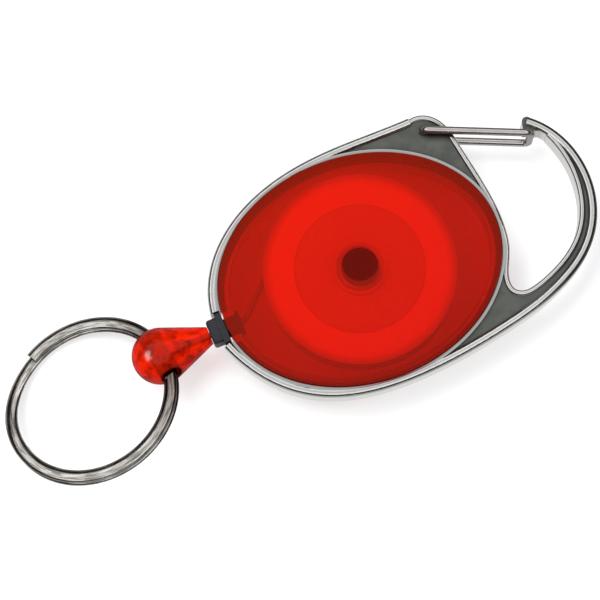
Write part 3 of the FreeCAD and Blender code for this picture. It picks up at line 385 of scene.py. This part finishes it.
# ---------------------------------------------------------------- cord: winding to guide bend, then out along the pull line
def tube(name, path, radius, sides=20):
    verts, faces = [], []
    n = len(path)
    for i, p in enumerate(path):
        t = (path[min(i + 1, n - 1)] - path[max(i - 1, 0)]).normalized()
        side = t.cross(Vector((0, 0, 1))).normalized()
        up = side.cross(t)
        for k in range(sides):
            a = 2 * math.pi * k / sides
            verts.append(p + radius * (math.cos(a) * side + math.sin(a) * up))
    for i in range(n - 1):
        for k in range(sides):
            a, b = i * sides + k, i * sides + (k + 1) % sides
            faces.append((a, b, b + sides, a + sides))
    faces.append(tuple(range(sides - 1, -1, -1)))
    faces.append(tuple(range((n - 1) * sides, n * sides)))
    me = bpy.data.meshes.new(name)
    me.from_pydata([tuple(v) for v in verts], [], faces)
    me.update()
    for poly in me.polygons:
        poly.use_smooth = len(poly.vertices) == 4
    o = bpy.data.objects.new(name, me)
    scene.collection.objects.link(o)
    return o


slide = [j for j in frame["joints"] if j["name"] == "cord_pull"][0]
out = Vector(slide["axis"]).normalized()
lead_low, lead_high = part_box("cord_lead")
level = (lead_low.z + lead_high.z) / 2
radius = (lead_high.z - lead_low.z) / 2
ball = Vector([j for j in frame["joints"] if j["name"] == "ring_swing"][0]["pos_m"])
guide = ball - out * ((ball.x + 19.0 * MM) / out.x)
guide.z = level
lay = 12.91 * MM
flat = Vector((guide.x, guide.y))
leave = math.atan2(flat.y, flat.x) % (2 * math.pi) - math.acos(lay / flat.length)
start = Vector((lay * math.cos(leave), lay * math.sin(leave), level))
d1 = (guide - start).normalized()
bend = d1.angle(out)
cut = 2.0 * MM * math.tan(bend / 2)
p1, p2 = guide - d1 * cut, guide + out * cut
last = guide + out * ((lead_low.x - guide.x) / out.x)
path = [start.lerp(p1, i / 24) for i in range(25)]
for i in range(1, 12):
    t = i / 12
    path.append((1 - t) ** 2 * p1 + 2 * t * (1 - t) * guide + t * t * p2)
path += [p2.lerp(last, i / 90) for i in range(91)]
pulled = tube("pull_cord", path, radius)
pulled.data.materials.append(cord)
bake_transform(pulled)
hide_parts("cord_lead")


# ---------------------------------------------------------------- stage, light, camera
def floor():
    me = bpy.data.meshes.new("floor")
    s = 1.6
    me.from_pydata([(-s, -s, 0), (s, -s, 0), (s, s, 0), (-s, s, 0)], [], [(0, 1, 2, 3)])
    o = bpy.data.objects.new("floor", me)
    o.location.z = cad_box[0][2] - 0.00002
    scene.collection.objects.link(o)
    m = Mat("floor_pale")
    tone = m.noise(14.0, None, 2.0)
    white = m.mix(tone, (0.90, 0.90, 0.90), (0.92, 0.92, 0.92))
    lit = m.n("BsdfDiffuse", {"Color": white})
    glow = m.n("Emission", {"Color": (1.0, 1.0, 1.0), "Strength": 0.98})
    rays = m.n("LightPath")
    soft = m.n("Emission", {"Color": (1.0, 0.99, 0.97), "Strength": 0.16})
    # what polished metal mirrors: brightest right beside the piece, greyer further out
    near = m.n("MapRange", {"Value": rays.outputs["Ray Length"], "From Min": 8.0 * MM, "From Max": 34.0 * MM, "To Min": 0.78, "To Max": 0.34}).outputs[0]
    mirrored = m.n("Emission", {"Color": (1.0, 0.99, 0.98), "Strength": near})
    unseen = m.shade(rays.outputs["Is Glossy Ray"], m.shade(0.70, lit, soft), mirrored)
    me.materials.append(m.done(m.shade(rays.outputs["Is Camera Ray"], unseen, m.shade(0.62, lit, glow))))
    sink(o)


def mark(name, at, body=None):
    e = bpy.data.objects.new(name, None)
    e.empty_display_size = 0.001
    e.location = at
    scene.collection.objects.link(e)
    if body:
        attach(e, body)
    return e


def sink(o):
    # the floor drops as far as the ring does where a pose swings it down, so that nothing hangs through it
    ring = nodes["split_ring"]
    co = np.zeros(len(ring.data.vertices) * 3, np.float32)
    ring.data.vertices.foreach_get("co", co)
    co = co.reshape(-1, 3)
    picked = set()
    for i in range(16):
        for e in (-75, -45, -20, 0, 20, 45, 75):
            a, b = 2 * math.pi * i / 16, math.radians(e)
            picked.add(int(np.argmax(co @ np.array((math.cos(a) * math.cos(b), math.sin(a) * math.cos(b), math.sin(b)), np.float32))))
    marks = [mark("floor_mark_rest", (0.0, 0.0, o.location.z))]
    for k in sorted(picked):
        marks.append(mark("floor_mark_%d" % len(marks), ring.matrix_world @ Vector([float(c) for c in co[k]]), "key_ring"))
    low = o.driver_add("location", 2).driver
    low.type = "MIN"
    for k, e in enumerate(marks):
        v = low.variables.new()
        v.name = "z%d" % k
        v.type = "TRANSFORMS"
        v.targets[0].id = e
        v.targets[0].transform_type = "LOC_Z"
        v.targets[0].transform_space = "WORLD_SPACE"


def world():
    w = bpy.data.worlds.new("studio")
    w.use_nodes = True
    t = w.node_tree
    t.nodes.clear()

    def n(kind, **props):
        node = t.nodes.new("ShaderNode" + kind)
        for k, v in props.items():
            setattr(node, k, v)
        return node

    co = n("TexCoord")
    sep = n("SeparateXYZ")
    t.links.new(co.outputs["Generated"], sep.inputs[0])
    # bright overhead, a warm dark band below it that climbs higher on the low right side, a paler horizon
    lean = n("VectorMath", operation="DOT_PRODUCT")
    t.links.new(co.outputs["Generated"], lean.inputs[0])
    lean.inputs[1].default_value = (0.42, -0.91, 0.0)
    shift = n("Math", operation="MULTIPLY_ADD")
    t.links.new(lean.outputs["Value"], shift.inputs[0])
    shift.inputs[1].default_value = -0.16
    t.links.new(sep.outputs[2], shift.inputs[2])
    ramp = n("ValToRGB")
    t.links.new(shift.outputs[0], ramp.inputs[0])
    stops = [(0.0, (0.40, 0.40, 0.39)), (0.10, (0.16, 0.15, 0.14)), (0.18, (0.022, 0.020, 0.018)), (0.57, (0.030, 0.026, 0.023)),
             (0.64, (0.55, 0.54, 0.53)), (0.74, (1.20, 1.20, 1.19)), (0.90, (0.95, 0.95, 0.94)), (1.0, (0.62, 0.62, 0.61))]
    cr = ramp.color_ramp
    cr.elements[0].position, cr.elements[1].position = stops[0][0], stops[-1][0]
    for pos, _ in stops[1:-1]:
        cr.elements.new(pos)
    for el, (_, v) in zip(sorted(cr.elements, key=lambda e: e.position), stops):
        el.color = (*v, 1)
    studio, white = n("Background"), n("Background")
    t.links.new(ramp.outputs[0], studio.inputs[0])
    white.inputs[0].default_value = (1, 1, 1, 1)
    white.inputs[1].default_value = 1.0
    path = n("LightPath")
    pick = n("MixShader")
    t.links.new(path.outputs["Is Camera Ray"], pick.inputs[0])
    t.links.new(studio.outputs[0], pick.inputs[1])
    t.links.new(white.outputs[0], pick.inputs[2])
    o = n("OutputWorld")
    t.links.new(pick.outputs[0], o.inputs[0])
    scene.world = w


def softbox(name, at, size, power, aim=(0.0, 0.0, 0.005), shows=False, only=None):
    lamp = bpy.data.lights.new(name, "AREA")
    lamp.shape = "RECTANGLE"
    lamp.size, lamp.size_y = size
    lamp.energy = power
    o = bpy.data.objects.new(name, lamp)
    o.location = at
    o.rotation_euler = (Vector(aim) - Vector(at)).to_track_quat("-Z", "Y").to_euler()
    o.visible_glossy = shows
    if only:
        o.visible_diffuse = False
        o.visible_transmission = False
        lit = bpy.data.collections.new(name + "_receivers")
        lit.objects.link(nodes[only])
        o.light_linking.receiver_collection = lit
    scene.collection.objects.link(o)


floor()
world()
softbox("key_softbox", (-0.16, 0.22, 0.56), (0.42, 0.34), 5.0)
softbox("fill_softbox", (0.42, -0.20, 0.36), (0.36, 0.30), 2.0)
# one low box seen only by the polished ring holder, as its single soft highlight
softbox("glint_softbox", (-0.348, 0.0685, 0.320), (0.25, 0.19), 3.6, aim=(-0.033, -0.002, 0.0065), shows=True, only="ring_holder")

cam = bpy.data.cameras.new("camera")
cam.sensor_width = 36.0
cam.lens = 126.85
cam.clip_start, cam.clip_end = 0.01, 20.0
view = bpy.data.objects.new("camera", cam)
right, up, back = Vector((0.93649, -0.34958, -0.02777)), Vector((0.34770, 0.91529, 0.20335)), Vector((-0.04567, -0.20010, 0.97871))
turn = Matrix((right, up, back)).transposed().to_4x4()
view.matrix_world = Matrix.Translation((-0.02480, -0.06529, 0.32140)) @ turn
scene.collection.objects.link(view)
scene.camera = view
scene.view_settings.view_transform = "Standard"
